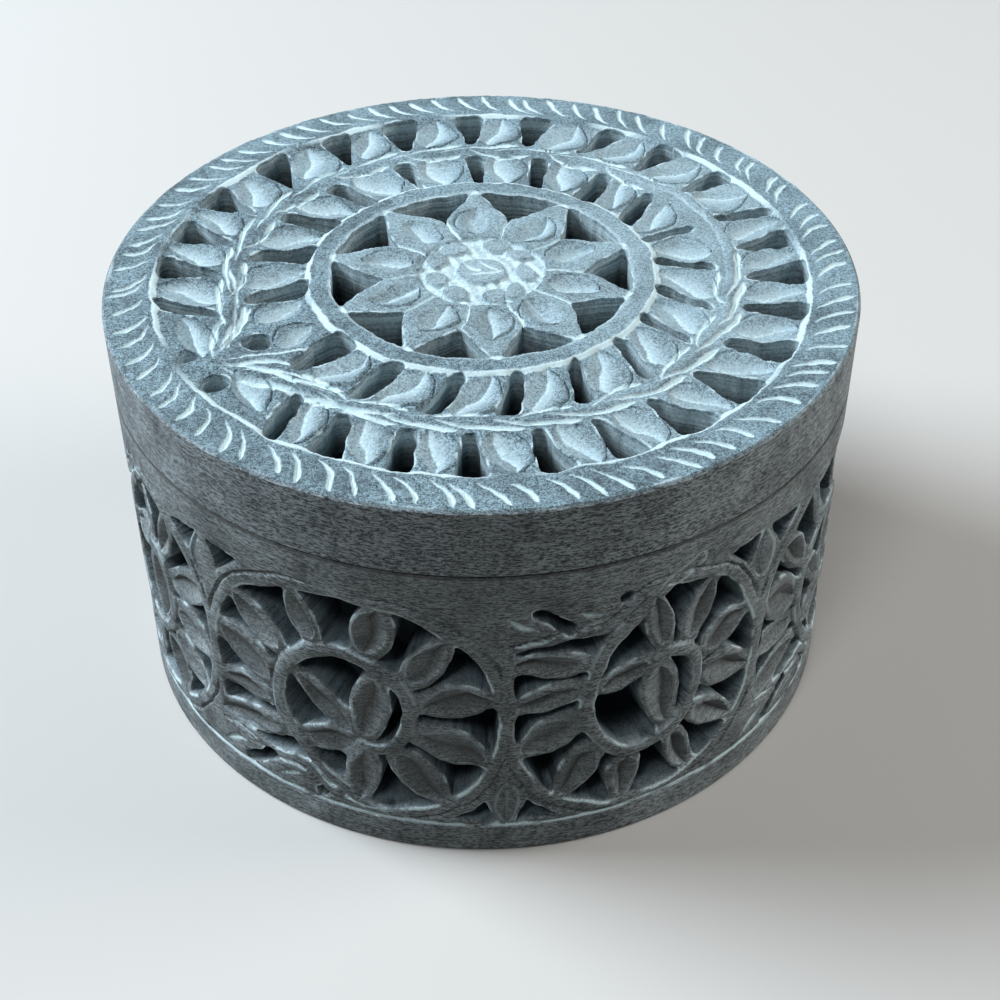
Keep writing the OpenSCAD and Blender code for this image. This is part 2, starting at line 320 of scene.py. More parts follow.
def along_leaf(x, y, base, tip, w, bow=0.0, full=LEAF_FULL, skew=LEAF_SKEW):
    """Place along a leaf, place across it from -1 to 1, and distance inside its outline."""
    s, on, q, past = along(x, y, base, tip, bow)
    half = w / 2 * np.sin(np.pi * on**skew) ** full
    return s, q / np.maximum(half, HALF_LEAST), half - np.hypot(q, past)


def from_line(x, y, points):
    """Distance to a row of points joined by straight runs."""
    best = np.full(x.shape, FAR)
    for a, b in zip(points[:-1], points[1:]):
        run = b - a
        t = np.clip(((x - a[0]) * run[0] + (y - a[1]) * run[1]) / (run @ run), 0, 1)
        best = np.minimum(best, np.hypot(x - a[0] - t * run[0], y - a[1] - t * run[1]))
    return best


def in_polygon(x, y, corners):
    """Distance inside a convex polygon whose corners run anticlockwise."""
    best = np.full(x.shape, FAR)
    for a, b in zip(corners, np.roll(corners, -1, 0)):
        run = (b - a) / np.hypot(*(b - a))
        best = np.minimum(best, run[0] * (y - a[1]) - run[1] * (x - a[0]))
    return best


# Cut leaves: ranges of bow, width, place of the crease and depth, then how the crease and ends run
CUT_RANGES = ((0.02, 0.1), (0.95, 1.05), (0.1, 0.5), (0.8, 1.15))
CREASE_DRIFT = 0.35
CREASE_WAVE = 0.1
CUT_ENDS = 0.02
CUT_LINE_W = 0.28


def hollow(sheet, part, x, y, base, tip, w, root_side, cut):
    """Leaf cut into the surface: two facets that meet in a crease, with powder, a painted highlight and
    painted shade on them, and a line along one side.
    """
    depth, tones, painted_shades, (line_off, line_depth, line_powder) = cut
    bow, wide, start, deep = draws(CUT_RANGES)
    s, v, d = along_leaf(x, y, base, tip, w * wide, -root_side * bow * w)
    crease = root_side * (start - CREASE_DRIFT * s + CREASE_WAVE * np.sin(2 * np.pi * s))
    side = (v - crease) * root_side
    away = np.where(side > 0, side / (1 - root_side * crease), -side / (1 + root_side * crease))
    run = np.sin(np.pi * np.clip(s, CUT_ENDS, 1 - CUT_ENDS)) ** 0.5
    share = np.clip(1 - away, 0, 1) * run * (d > 0)
    sheet.height[part] -= depth * deep * share
    # Powder on both facets, and on one a painted highlight that grows towards the crease
    tone = np.where(side > 0, tones[0], tones[1] + tones[2] * (1 - away) ** 2)
    sheet.dust(part, tone * ramp(d, 0, high=0.25))
    # Painted shade: one facet darker than the other, and a dark line along the crease
    painted_shade = np.where(side > 0, painted_shades[0], painted_shades[1]) + painted_shades[2] * bump(away, at=0, width=0.2)
    sheet.painted_shade[part] = np.maximum(sheet.painted_shade[part], painted_shade * ramp(d, 0, high=0.3))
    # Line beside one edge: a groove on the lid, a painted highlight with no groove on the wall
    beside = (side < 0) & (s > -CUT_ENDS) & (s < 1 + CUT_ENDS)
    sheet.groove(part, d + line_off, CUT_LINE_W, line_depth, line_powder, beside)


def chipped(sheet, seed, most):
    """Pale broken line along every edge of the holes."""
    kept = ramp(ripple(sheet.grid, size=4, seed=seed), low=-0.1, high=0.7)
    sheet.dust(ALL, most * kept * bump(sheet.inside, at=0, width=0.22))


# Lid face, seen from above
LID_WARP = ((0.2, 9), (0.09, 2.5))
LEAF_ZONE = -0.35
ZONE_SLOPE = 0.7
ZONE_LAP = 0.1
# Height, size and seed of the swells that a hand-rubbed face keeps
SWELLS = [(0.05, 6, 71), (0.03, 1.6, 72)]
# A cut leaf's depth, tones and painted shade of its facets, and the line beside it: place, depth,
# powder
LID_CUT = (1.15, (0.28, 0.15, 0.6), (0, 0, 0), (0.5, 0.45, 0))
PETAL_DUST = 0.2
GARLAND_PAINTED_LIGHT = 0.2
# White lines at the border and the flower's ring: radius, half width, and ripple where they break off
RING_LINES = [(GARLAND_OUT_R - 0.1, 0.48, -0.9), (FLOWER_RING_R + 0.3, 0.45, -2)]
LINE_FADE = 1.2
RIM_WEAR = 0.4
RIM_WEAR_W = 0.3
SLOT_EASE = 0.1
# Stem of a garland: shift, then how high and how long it swings at its root and at its tip
STEM_SHIFT = 0.3
STEM_ROOT = (7, 9)
STEM_TIP = (1.6, 22)
STEM_RIDGE = 0.3
STEM_HALF_W = 0.85
# Lines beside a stem: share at the tip, room to border and root, least and further depth and powder
LINE_TIP = 0.8
LINE_CLEAR = (0.6, 4)
LINE_DEPTH = (0.1, 0.2)
LINE_POWDER = (0.1, 0.5)
# Stalk cuts from a leaf to its stem: start in from the leaf and along it, run, least run and end
STALK_START = (0.15, 0.6)
STALK_TURN = (21, 16)
STALK_LEAST = 1
STALK_END = 0.2
TIP_SLACK = 1
TIP_SWAY = 0.5
STROKE_BLUNT = 0.15
STROKE_TAPER = 0.45
STROKE_DEPTH = 0.35


def zone_r(share):
    return FLOWER_RING_R + share * (GARLAND_OUT_R - FLOWER_RING_R)


def slots(sheet, rows, stem_r, edge_r):
    """Opens the slots between the leaves of one row."""
    for edge_a, edge_w, stem_a, stem_w in rows:
        part, x, y = sheet.near([polar(stem_r, stem_a), polar(edge_r, edge_a)], margin=5)
        r = np.hypot(x, y)
        t = (r - stem_r) / (edge_r - stem_r)
        on = np.clip(t, 0, 1)
        w = stem_w + (edge_w - stem_w) * ramp(on, 0, 1)
        turn = np.degrees(np.arctan2(y, x)) - stem_a - (edge_a - stem_a) * on
        lean = math.atan(math.radians(edge_a - stem_a) * (stem_r + edge_r) / 2 / (edge_r - stem_r))
        off = np.radians(np.abs(half_turn(turn))) * r
        side = (np.radians(w / 2) * r - off) * math.cos(lean)
        end = np.minimum(t, 1 - t) * abs(edge_r - stem_r)
        sheet.pierce(part, -smooth_max(-side, -end, blend=1.6) + SLOT_EASE)


def lid_hollow(sheet, base, tip, w, root_side):
    hollow(sheet, *sheet.near([base, tip], w / 2 + MARGIN), base, tip, w, root_side, LID_CUT)


def stem_path(a, span):
    """Radius of a garland's stem, at an angle from the root of a garland that spans so many degrees."""
    at_root = STEM_ROOT[0] * np.exp(-a / STEM_ROOT[1])
    return GARLAND_R - STEM_SHIFT + at_root + STEM_TIP[0] * bump(a, span, STEM_TIP[1])


def stroke(sheet, start, end, w, bow):
    """Comma cut of a round tool: blunt and thick at its start, drawn out to its end."""
    part, x, y = sheet.near([start, end], margin=abs(bow) + 1)
    _, on, q, past = along(x, y, start, end, bow)
    half = w / 2 * np.sqrt(np.clip(on / STROKE_BLUNT, 0, 1)) * (1 - on) ** STROKE_TAPER
    d = half - np.hypot(q, past)
    sheet.groove(part, np.minimum(d - w / 2, 0), w / 2, STROKE_DEPTH * w, powder=1)


def leaf_row(sheet, rows, stem_r, edge_r):
    """Cuts the leaves between the slots of one row, and their stalks."""
    out = 1 if edge_r > stem_r else -1
    base_r, tip_r = stem_r + out * HOLLOW_INSET[0], edge_r - out * HOLLOW_INSET[1]
    ends = rows[1:] + [(rows[0][0] + 360, rows[0][1], rows[0][2] + 360, rows[0][3])]
    for low, high in zip(rows, ends):
        stem_gap = low[2] + low[3] / 2, high[2] - high[3] / 2
        edge_gap = low[0] + low[1] / 2, high[0] - high[1] / 2
        way = 1 if low[2] > GARLAND_ROOT or high[2] < GARLAND_TIP + TIP_SLACK else -1
        near_root = low if way > 0 else high
        corner = near_root[2] - way * near_root[3] / 2
        inner_end = polar(stem_r - out * STALK_START[0], corner - way * STALK_START[1])
        span = 360 - BACK_SPAN if way > 0 else BACK_SPAN
        run = way * (corner - GARLAND_ROOT) % 360
        end_a = max(run - STALK_TURN[0 if out > 0 else 1], STALK_LEAST)
        end = polar(stem_path(end_a, span) - out * STALK_END, GARLAND_ROOT + way * end_a)
        stroke(sheet, inner_end, end, w=1.25, bow=way * out * 0.8)
        if low[2] < GARLAND_ROOT < high[2]:
            continue
        start = HOLLOW_START if way > 0 else 1 - HOLLOW_START
        base = polar(base_r, stem_gap[0] + start * (stem_gap[1] - stem_gap[0]))
        tip = polar(tip_r, (edge_gap[0] + edge_gap[1]) / 2 + rng.uniform(-TIP_SWAY, TIP_SWAY))
        stone_arc = (stem_gap[1] - stem_gap[0] + edge_gap[1] - edge_gap[0]) / 2
        w = HOLLOW_SHARE * math.radians(stone_arc) * (stem_r + edge_r) / 2
        lid_hollow(sheet, base, tip, w, -out * way)


def stems(sheet):
    """Rounds up the two stems and cuts a line along each side of them."""
    for span, way in ((360 - BACK_SPAN, 1), (BACK_SPAN, -1)):
        a = np.linspace(start=-0.5, stop=span, num=70)
        line = polar(stem_path(a, span), GARLAND_ROOT + way * a).T
        part, x, y = sheet.near(line, margin=2.5)
        off = from_line(x, y, line)
        far = np.abs(half_turn(np.degrees(np.arctan2(y, x)) - GARLAND_ROOT))
        sheet.height[part] += STEM_RIDGE * bump(off, 0, STEM_HALF_W)
        ends = np.maximum(bump(far, at=0, width=22), LINE_TIP * bump(far, at=BACK_SPAN, width=30))
        clear = (np.hypot(x, y) < GARLAND_OUT_R - LINE_CLEAR[0]) & (far > LINE_CLEAR[1])
        depth, powder = LINE_DEPTH[0] + LINE_DEPTH[1] * ends, LINE_POWDER[0] + LINE_POWDER[1] * ends
        sheet.groove(part, off - STEM_HALF_W, half_w=0.3, depth=depth, powder=powder, where=clear)


def lid_sheet():
    """The lid's whole carved face."""
    reach = BOX_R + 2 * LID_STEP
    xs = np.arange(-reach, reach + LID_STEP / 2, LID_STEP)
    grid = np.stack(np.meshgrid(xs, xs), -1)
    sheet = Sheet(xs, xs, wander(grid, LID_WARP, seeds=(11, 21)))
    r = np.hypot(sheet.x, sheet.y)
    zone = ramp(r, FLOWER_RING_R, FLOWER_RING_R + ZONE_SLOPE)
    sheet.height = LEAF_ZONE * (zone * ramp(GARLAND_OUT_R - r, -ZONE_LAP, ZONE_SLOPE))
    for height, size, seed in SWELLS:
        sheet.height += height * ripple(grid, size, seed)
    sheet.dust(ALL, PETAL_DUST * ramp(FLOWER_R - r, 0, 1))
    # Painted light: pale tone over the field inside the border, growing towards the right
    painted_light = ramp(sheet.x, low=-15, high=30) * ramp(GARLAND_OUT_R - r, 0, 1)
    sheet.dust(ALL, GARLAND_PAINTED_LIGHT * painted_light)
    for line_r, half_w, least in RING_LINES:
        kept = ramp(ripple(grid, size=22, seed=93), least, least + LINE_FADE)
        sheet.dust(ALL, kept * ramp(half_w - np.abs(r - line_r), 0, high=0.15))
    lip = BOX_R - EDGE_BEVEL
    worn = ramp(ripple(grid, size=9, seed=95), low=-0.4, high=0.6)
    sheet.dust(ALL, RIM_WEAR * (worn * ramp(r, lip - RIM_WEAR_W, lip)))
    stems(sheet)
    outer = GARLAND_R + STEM_BAND_W / 2, GARLAND_OUT_R
    inner = GARLAND_R - STEM_BAND_W / 2, FLOWER_RING_R
    leaf_row(sheet, BORDER_SLOTS, *outer)
    leaf_row(sheet, RING_SLOTS, *inner)
    for start, end, w, bow in ROOT_STROKES:
        stroke(sheet, start, end, w, bow)
    for base_r, base_a, tip_r, tip_a, w, root_side in ROOT_LEAVES:
        lid_hollow(sheet, polar(zone_r(base_r), base_a), polar(zone_r(tip_r), tip_a), w, root_side)
    flower(sheet, r)
    rosette(sheet, r)
    nicks(sheet)
    slots(sheet, BORDER_SLOTS, *outer)
    slots(sheet, RING_SLOTS, *inner)
    for share, a, eye_r in ROOT_EYES:
        mid = polar(zone_r(share), a)
        part, x, y = sheet.near([mid], margin=4)
        sheet.pierce(part, eye_r - np.hypot(x - mid[0], y - mid[1]))
    chipped(sheet, seed=91, most=0.9)
    return sheet


PETAL_SWAY = 1.5
PETAL_ZONE = (1.2, 0.8)
# Cut where petals meet the ring: place, half width, depth, powder and least share of powder
RING_SEAM = (0.05, 0.5, 0.25, 0.95, 0.35)


def flower(sheet, r):
    """Petals round the rosette, with holes between them and the ring."""
    step = 360 / PETALS
    first = np.full(r.shape, NOWHERE)
    second = np.full(r.shape, NOWHERE)
    for i in range(PETALS):
        a = PETAL_FIRST + i * step + PETAL_DRIFT * (1 - math.cos(math.radians(i * step)))
        base, tip = polar(ROSETTE_R - PETAL_ROOT, a), polar(FLOWER_R + LEAF_BITE, a)
        part, x, y = sheet.near([base, tip], PETAL_W / 2)
        _, _, d = along_leaf(x, y, base, tip, PETAL_W, 0, PETAL_FULL, PETAL_SKEW)
        second[part] = np.maximum(second[part], np.minimum(first[part], d))
        first[part] = np.maximum(first[part], d)
        base = polar(ROSETTE_R + PETAL_HOLLOW[0], a)
        tip = polar(FLOWER_R - PETAL_HOLLOW[1], a + rng.uniform(-PETAL_SWAY, PETAL_SWAY))
        lid_hollow(sheet, base, tip, PETAL_HOLLOW[2] * PETAL_W, rng.choice((-1, 1)))
    zone = (r < FLOWER_R - PETAL_ZONE[1]) & (r > ROSETTE_R - PETAL_ZONE[0])
    sheet.groove(ALL, first - second, half_w=0.55, depth=0.4, powder=0.95, where=zone)
    ring = r - FLOWER_R
    touch = ramp(first, low=-0.6, high=0.2)
    off, half_w, depth, powder, least = RING_SEAM
    sheet.groove(ALL, ring - off, half_w, depth * touch, powder * np.maximum(touch, least))
    stone_d = smooth_max(smooth_max(first, ROSETTE_R - r, FILLET), ring, FILLET)
    sheet.pierce(ALL, -stone_d)


# Rows of scales round the button: how many, how far out, length and width
SCALES = [(9, 6.3, 3.9, 3.1), (6, 8.3, 1.8, 1.1)]
SLASHES = [((-0.1, -0.4), (-2.4, 1.9)), ((2.1, 0.0), (-0.5, 2.6)), ((3.1, 0.1), (-2.9, -1.1))]
SCALE_DUST = 0.27
# Ranges of a scale's step, place outwards, length, tilt and width
SCALE_RANGES = ((-0.2, 0.2), (-0.5, 0.4), (0.8, 1.1), (-40, 40), (0.8, 1.1))
BUTTON_SQUASH = 1.15
RAISED = (-0.1, 0.3)
GROUND_RIM = 0.9
# Middle, spread, ripple and seed of the ground's powder and depth
GROUND_POWDER = (0.72, 0.2, 1.2, 73)
GROUND_DEPTH = (0.5, 0.1, 1.5, 74)
# Ranges of a border cut's step, distance from both edges, lean, width and bow
NICK_RANGES = ((-0.22, 0.22), (0.7, 1.3), (0.6, 1.3), (4, 5.4), (0.9, 1.35), (0.4, 0.85))


def rosette(sheet, r):
    """Scales and a button raised from a powdery ground."""
    ground = ramp(ROSETTE_R - GROUND_RIM - r, 0, high=0.4)
    raised = ramp(BUTTON_R - np.hypot(sheet.x, BUTTON_SQUASH * sheet.y), *RAISED)
    for n, ring_r, length, w in SCALES:
        for i in range(n):
            step, out, long, tilt, wide = draws(SCALE_RANGES)
            a = 360 * (i + step) / n
            mid = polar(ring_r + out, a)
            half = polar(length / 2 * long, a + 90 + tilt)
            part, x, y = sheet.near([mid], length)
            _, _, d = along_leaf(x, y, mid - half, mid + half, w * wide, full=0.5)
            raised[part] = np.maximum(raised[part], ramp(d, *RAISED))
    low = ground * (1 - raised)
    sheet.height -= uneven(sheet.grid, *GROUND_DEPTH) * low
    sheet.powder *= 1 - ground
    sheet.dust(ALL, np.maximum(uneven(sheet.grid, *GROUND_POWDER) * low, SCALE_DUST * ground))
    for start, end in SLASHES:
        stroke(sheet, start, end, w=0.9, bow=0.25)


def nicks(sheet):
    """Row of comma cuts round the border."""
    for i in range(NICKS):
        step, inner, outer, lean, w, bow = draws(NICK_RANGES)
        a = 360 * (i + step) / NICKS
        stroke(sheet, polar(BOX_R - outer, a + lean), polar(GARLAND_OUT_R + inner, a), w, -bow)


# Wall face, unrolled: arc length to the right and height
def scroll_point(a):
    curl = CURL_IN * (max(0, a - CURL_START) / (CURL_END - CURL_START)) ** 2
    r = LOOP_R + FEED_R * math.exp(-a / FEED_TURN) - curl
    return -r * np.array([math.sin(math.radians(a)), math.cos(math.radians(a))])


def window_r(a):
    c, s = np.abs(np.cos(np.radians(a))), np.abs(np.sin(np.radians(a)))
    n = WINDOW_SQUARENESS
    swell, dent = WINDOW_SWELL, WINDOW_DENT
    r = ((c / ART_HALF_W) ** n + (s / ART_HALF_H) ** n) ** (-1 / n)
    return r + swell[2] * bump(a, *swell[:2]) - dent[2] * bump(a, *dent[:2])


WALL_LEVEL = -0.1
# Range of a leaf's lean, and how deep and how far in its edges are rounded
LEAF_LEAN = (0.1, 0.8)
LEAF_EDGE = (0.45, 0.4)
WALL_HOLLOW_W = 0.76
WALL_HOLLOW_RUN = (0.16, 0.86)
# A wall leaf's cut: no powder on the facets, painted shade on them and the crease, a painted highlight
# beside one edge
WALL_CUT = (1.2, (0, 0, 0), (0.5, 0.15, 0.5), (0.12, 0, 0.3))
EDGE_LINE_W = 0.28
SCROLL_STEP = 6
OWN_GAP = 0.1
BAND_CLEAR = (0.4, 1.6)
SWELL_REACH = 2.5
SCROLL_GAP = 0.3
BUD_HOLE_EASE = 0.15


def edge_line(sheet, part, d, seed, most):
    """White line along an edge, broken as a chipped edge is."""
    kept = ramp(ripple(sheet.grid[part], size=8, seed=seed), low=-0.1, high=0.35)
    line = ramp(EDGE_LINE_W - np.abs(d - EDGE_LINE_W / 2), 0, high=0.2)
    sheet.dust(part, most * kept * line)


class Art:
    """One medallion's place on the wall, and its drawing coordinates there."""

    def __init__(self, sheet, middle, arc, flip):
        self.sheet = sheet
        self.half_pitch = BOX_R * math.radians(arc / 2)
        self.half_w = self.half_pitch - POST_W / 2
        mid = BOX_R * math.radians(middle)
        ends = [(mid - self.half_pitch, 0), (mid + self.half_pitch, SEAM_Z)]
        self.part, along_wall, self.z = sheet.near(ends, margin=0.5)
        self.u = along_wall - mid
        self.v = flip * (self.z - WINDOW_MID)
        self.x = self.u * ART_HALF_W / self.half_w
        self.y = self.v * ART_HALF_H / WINDOW_HALF_H


def wall_leaf(art, base, tip, w):
    """Adds a leaf to the open part of a medallion, and returns the cut to make in its face."""
    _, v, d = along_leaf(art.x, art.y, base, tip, w)
    lean = rng.uniform(*LEAF_LEAN) * (1 + rng.choice((-1, 1)) * np.clip(v, -1, 1)) / 2
    art.sheet.add(art.part, d, WALL_LEVEL - lean, LEAF_EDGE)
    base, tip = np.array(base), np.array(tip)
    start, end = WALL_HOLLOW_RUN
    return base + start * (tip - base), base + end * (tip - base), WALL_HOLLOW_W * w


def medallion(art, ring_leaves, loop_leaves, seed):
    """A window with its scroll and leaves, and the spray and bud holes in its corners."""
    sheet, part = art.sheet, art.part
    angle = np.degrees(np.arctan2(art.y, art.x)) % 360
    window = np.minimum(window_r(angle) - np.hypot(art.x, art.y), art.half_w - np.abs(art.u))
    sheet.add(part, -window, 0)
    end = scroll_point(CURL_END)
    cuts = [
        wall_leaf(art, scroll_point(stem_a), polar(window_r(ring_a) + LEAF_BITE, ring_a), w)
        for stem_a, ring_a, w in ring_leaves
    ]
    cuts += [wall_leaf(art, end, scroll_point(stem_a), w) for stem_a, w in loop_leaves]
    scroll = np.array([scroll_point(a) for a in np.arange(SCROLL_START, CURL_END + 1, SCROLL_STEP)])
    off = from_line(art.x, art.y, scroll)
    sheet.add(part, SCROLL_W / 2 - off, 0)
    for base, tip, w in cuts:
        turn = rng.choice((-1, 1))
        hollow(sheet, part, art.x, art.y, base, tip, w, turn, WALL_CUT)
    own = np.abs(art.u) < art.half_pitch - OWN_GAP
    zone = own & (art.z > FOOT_BAND_H + BAND_CLEAR[0]) & (art.z < WINDOW_TOP + BAND_CLEAR[1])
    sheet.groove(part, -window - RING_BAND, half_w=0.35, depth=0.5, powder=0.1, where=zone)
    beside = off - SCROLL_W / 2 - SCROLL_GAP
    sheet.groove(part, beside, half_w=0.3, depth=0.25, powder=0.15, where=window > 0)
    round_edge = zone & (np.abs(angle - WINDOW_SWELL[0]) > SWELL_REACH * WINDOW_SWELL[1])
    edge_line(sheet, part, np.where(round_edge, -window, NOWHERE), seed, most=1)
    edge_line(sheet, part, SCROLL_W / 2 - off, seed + 1, most=0.6)
    sheet.pierce(part, SPRAY_SLOT_W / 2 - from_line(art.x, art.y, np.array(SPRAY_SLOT)))
    sheet.pierce(part, SPRAY_HOLE_R - np.hypot(art.x - SPRAY_HOLE[0], art.v - SPRAY_HOLE[1]))
    for sign in (1, -1):
        u, v = art.half_pitch - BUD_HOLE[:, 0], BUD_HOLE[:, 1] - WINDOW_HALF_H - BUD_HOLE_DROP
        bud_hole = in_polygon(art.u, art.v, sign * np.stack([u, v], 1)[::-1])
        sheet.pierce(part, bud_hole + BUD_HOLE_EASE)
    for base, tip, w in SPRAY_CUTS:
        _, _, d = along_leaf(art.x, art.y, base, tip, w, bow=0.4, full=1)
        sheet.groove(part, np.minimum(d - w / 2, 0), w / 2, depth=0.5, powder=0.9)


BUD_OVER = 0.7
BUD_VEIN_RUN = (0.15, 0.9)


def bud(sheet, angle, down):
    """Pointed leaf at the end of a post, between two rings."""
    u = BOX_R * math.radians(angle)
    tip_z = WINDOW_BOTTOM - BUD_OVER if down else WINDOW_TOP + BUD_OVER
    base = np.array((u, tip_z + (BUD_LENGTH if down else -BUD_LENGTH)))
    tip = np.array((u, tip_z))
    part, x, y = sheet.near([base, tip], BUD_W)
    s, v, d = along_leaf(x, y, base, tip, BUD_W)
    sheet.groove(part, d, half_w=0.4, depth=0.5, powder=0.45)
    vein = (s > BUD_VEIN_RUN[0]) & (s < BUD_VEIN_RUN[1])
    sheet.groove(part, v, half_w=0.25, depth=0.3, powder=0.3, where=vein)


WALL_WARP = ((0.3, 10), (0.1, 3))
PLAIN_FOOT = (-1, 2)
PLAIN_RIM = (2, 4)
SEAM_SHADOW_BAND = (0.4, 0.2)
FOOT_LINE = 5.15


def wall_sheet():
    """The wall's whole carved face."""
    low = EDGE_BEVEL
    rows = round((SEAM_Z - low) / WALL_STEP)
    start = BOX_R * math.radians(FIRST_MEDALLION - RISING_ARC / 2)
    columns = round(2 * np.pi * BOX_R / WALL_STEP)
    xs = start + 2 * np.pi * BOX_R * np.arange(columns) / columns
    ys = np.linspace(low, SEAM_Z, rows + 1)
    grid_x, grid_y = np.meshgrid(xs, ys)
    round_wall = np.stack([BOX_R * np.sin(grid_x / BOX_R), -BOX_R * np.cos(grid_x / BOX_R), grid_y], -1)
    fade = ramp(grid_y, FOOT_BAND_H + PLAIN_FOOT[0], FOOT_BAND_H + PLAIN_FOOT[1])
    fade = fade * ramp(SEAM_Z - PLAIN_RIM[0] - grid_y, 0, PLAIN_RIM[1])
    sheet = Sheet(xs, ys, [fade * shift for shift in wander(round_wall, WALL_WARP, seeds=(31, 41))])
    falling_arc = PAIR_ARC - RISING_ARC
    for pair in range(PAIRS):
        middle = FIRST_MEDALLION + pair * PAIR_ARC
        for arc, turn, flip, leaves, loop in (
            (RISING_ARC, 0, 1, RISING_LEAVES, RISING_LOOP),
            (falling_arc, PAIR_ARC / 2, -1, FALLING_LEAVES, FALLING_LOOP),
        ):
            art = Art(sheet, middle + turn, arc, flip)
            own = np.abs(art.u) <= art.half_pitch
            sheet.inside[art.part] = np.where(own, NOWHERE, sheet.inside[art.part])
            medallion(art, leaves, loop, seed=81 + 4 * pair + 2 * flip)
        bud(sheet, middle + RISING_ARC / 2, True)
        bud(sheet, middle + RISING_ARC / 2 + falling_arc, False)
    chipped(sheet, seed=97, most=0.95)
    # Painted shadow of the seam under the lid, along the wall's top edge
    seam_shadow = ramp(sheet.y, SEAM_Z - SEAM_SHADOW_BAND[0], SEAM_Z - SEAM_SHADOW_BAND[1])
    sheet.painted_shade = np.maximum(sheet.painted_shade, seam_shadow)
    # Line round the foot: a groove, with a broken painted highlight on its upward-facing lower flank
    broken = ramp(ripple(round_wall, size=7, seed=51), low=-1.1, high=-0.3)
    above = sheet.y - FOOT_LINE
    sheet.groove(ALL, above, half_w=0.4, depth=0.45, powder=0)
    foot_lip_highlight = ramp(-above, low=-0.05, high=0.05) * ramp(above, low=-0.36, high=-0.22)
    sheet.dust(ALL, broken * foot_lip_highlight)
    return sheet


# Solids from carved faces
class Shell:
    """Points with their stone values, and the triangles between them."""

    def __init__(self):
        self.points, self.values = [], []
        self.faces, self.turned = [], []
        self.back, self.back_rim, self.angles = [], [], []
        self.count = 0

    def place(self, points, powder, deep, side=0.0):
        ids = self.count + np.arange(len(points))
        self.points.append(points)
        values = [np.broadcast_to(value, len(points)) for value in (powder, deep, side)]
        self.values.append(np.stack(values, 1))
        self.count += len(points)
        return ids

    def join(self, ring_a, ring_b, edges):
        """Strip between two rings of points, along edges that index both."""
        a, b = edges[:, 0], edges[:, 1]
        self.faces.append(np.stack([ring_a[a], ring_b[a], ring_b[b]], 1))
        self.faces.append(np.stack([ring_a[a], ring_b[b], ring_a[b]], 1))

    def mesh(self, name):
        mesh = bpy.data.meshes.new(name)
        points, faces = np.concatenate(self.points) * MM, np.concatenate(self.faces)
        mesh.from_pydata(points.tolist(), [], faces.tolist(), shade_flat=False)
        for key, column in zip(("powder", "deep", "side"), np.concatenate(self.values).T):
            layer = mesh.attributes.new(key, "FLOAT", "POINT")
            layer.data.foreach_set("value", column.astype(np.float32))
        return mesh


SNAP = 0.22
# Rings of points down a hole's wall, and how they are smoothed and roughened
HOLE_RINGS = (0.3, 2.2)
HOLE_MOST = 0.9
WALL_SMOOTH = 3
HOLE_ROUGH = 0.12
HOLE_ACROSS = (0.3, 0.5, 0.8)


def numbered(rows):
    """The points that rows of numbers name, and the rows as places among them."""
    points, places = np.unique(rows, return_inverse=True)
    return points, places.reshape(rows.shape)


def ring_at(r, z, angles):
    return np.stack([r * np.cos(angles), r * np.sin(angles), np.full(len(angles), z)], 1)


def stone_cells(inside, wrap):
    """Triangles of the grid cut along inside = 0: blend pairs of grid points, weights and triangles."""
    rows, columns = inside.shape
    ids = np.arange(rows * columns).reshape(rows, columns)
    if wrap:
        ids = np.concatenate([ids, ids[:, :1]], 1)
    a, b, c, d = ids[:-1, :-1], ids[:-1, 1:], ids[1:, 1:], ids[1:, :-1]
    odd = (np.add.outer(np.arange(a.shape[0]), np.arange(a.shape[1])) % 2).astype(bool)
    first = np.where(odd[..., None], np.stack([a, b, c], -1), np.stack([a, b, d], -1))
    second = np.where(odd[..., None], np.stack([a, c, d], -1), np.stack([b, c, d], -1))
    tris = np.concatenate([first.reshape(-1, 3), second.reshape(-1, 3)])
    level = inside.ravel()
    level = np.where(np.abs(level) < SNAP * WALL_STEP, 0, level)
    stone = level >= 0
    tris = tris[stone[tris].any(1)]
    kept = stone[tris].sum(1)
    full = tris[kept == 3]

    def turned(rows_of, lone):
        """Rows turned so that the odd corner comes first."""
        at = np.argmax(stone[rows_of] == lone, 1)
        return np.stack([rows_of[np.arange(len(rows_of)), (at + k) % 3] for k in range(3)], 1)

    one = turned(tris[kept == 1], True)
    two = turned(tris[kept == 2], False)
    edges = np.concatenate([one[:, [0, 1]], one[:, [0, 2]], two[:, [1, 0]], two[:, [2, 0]]])
    unique, back = np.unique(edges, axis=0, return_inverse=True)
    share = level[unique[:, 0]] / (level[unique[:, 0]] - level[unique[:, 1]])
    whole = level.size + np.arange(len(unique))
    whole = np.where(share == 0, unique[:, 0], whole)
    cut = whole[back.ravel()]
    n1, n2 = len(one), len(two)
    p, q = cut[:n1], cut[n1:2 * n1]
    e, f = cut[2 * n1:2 * n1 + n2], cut[2 * n1 + n2:]
    corners = (one[:, 0], p, q), (two[:, 1], two[:, 2], f), (two[:, 1], f, e)
    tris = np.concatenate([full] + [np.stack(three, 1) for three in corners])
    sound = (tris[:, 0] != tris[:, 1]) & (tris[:, 1] != tris[:, 2]) & (tris[:, 2] != tris[:, 0])
    return unique, share, tris[sound]


def cut_out(sheet, values, wrap=False):
    """The sheet's stone as triangles, with each of the values carried to its points."""
    unique, share, tris = stone_cells(sheet.inside, wrap)
    used, tris = numbered(tris)
    carried = []
    for value in values:
        flat = value.reshape(sheet.inside.size, -1)
        blend = flat[unique[:, 0]] * (1 - share[:, None]) + flat[unique[:, 1]] * share[:, None]
        carried.append(np.concatenate([flat, blend])[used].squeeze())
    sides = np.concatenate([tris[:, [0, 1]], tris[:, [1, 2]], tris[:, [2, 0]]])
    key = np.sort(sides, 1) @ np.array([len(used) + 1, 1])
    _, first, times = np.unique(key, return_index=True, return_counts=True)
    return carried, tris, sides[first[times == 1]]


